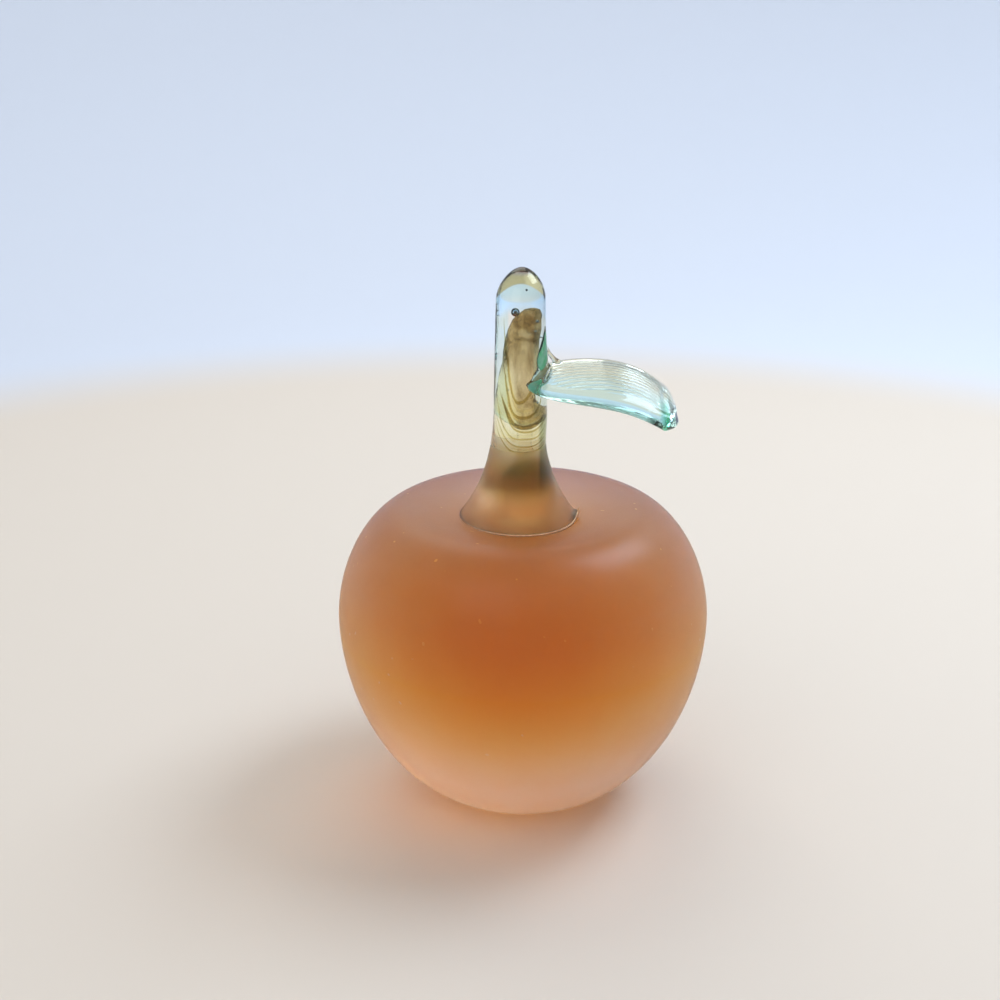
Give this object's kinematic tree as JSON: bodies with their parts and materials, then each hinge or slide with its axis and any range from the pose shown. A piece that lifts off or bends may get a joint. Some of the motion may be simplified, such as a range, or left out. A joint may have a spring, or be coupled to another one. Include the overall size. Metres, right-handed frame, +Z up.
{
  "type": "glass fruit paperweight",
  "caption": "Solid satin glass fruit with a deep amber core, a flared clear stalk with an olive thread inside it, seated in the dimple, and a ribbed green glass leaf; it stands on a ground foot.",
  "frame": {"origin": "centre of the ground foot's flat face, on the surface that the paperweight stands on", "axes": "+Z up along the stalk, +X towards the leaf's tip, -Y towards the viewer's side, to which the leaf leans"},
  "size_m": [0.084, 0.084, 0.1221],
  "materials": {
    "amber_glass": "clear, deep amber orange",
    "peach_glass": "acid-etched satin outside",
    "straw_glass": "fire-polished above, satin on the flared foot",
    "olive_glass": "clear, olive brown with darker streaks",
    "green_glass": "fire-polished, ribbed"
  },
  "bodies": {
    "root": {"amber_core": "amber_glass", "peach_casing": "peach_glass", "stalk": "straw_glass", "stalk_thread": "olive_glass", "leaf": "green_glass"}
  },
  "joints": []
}
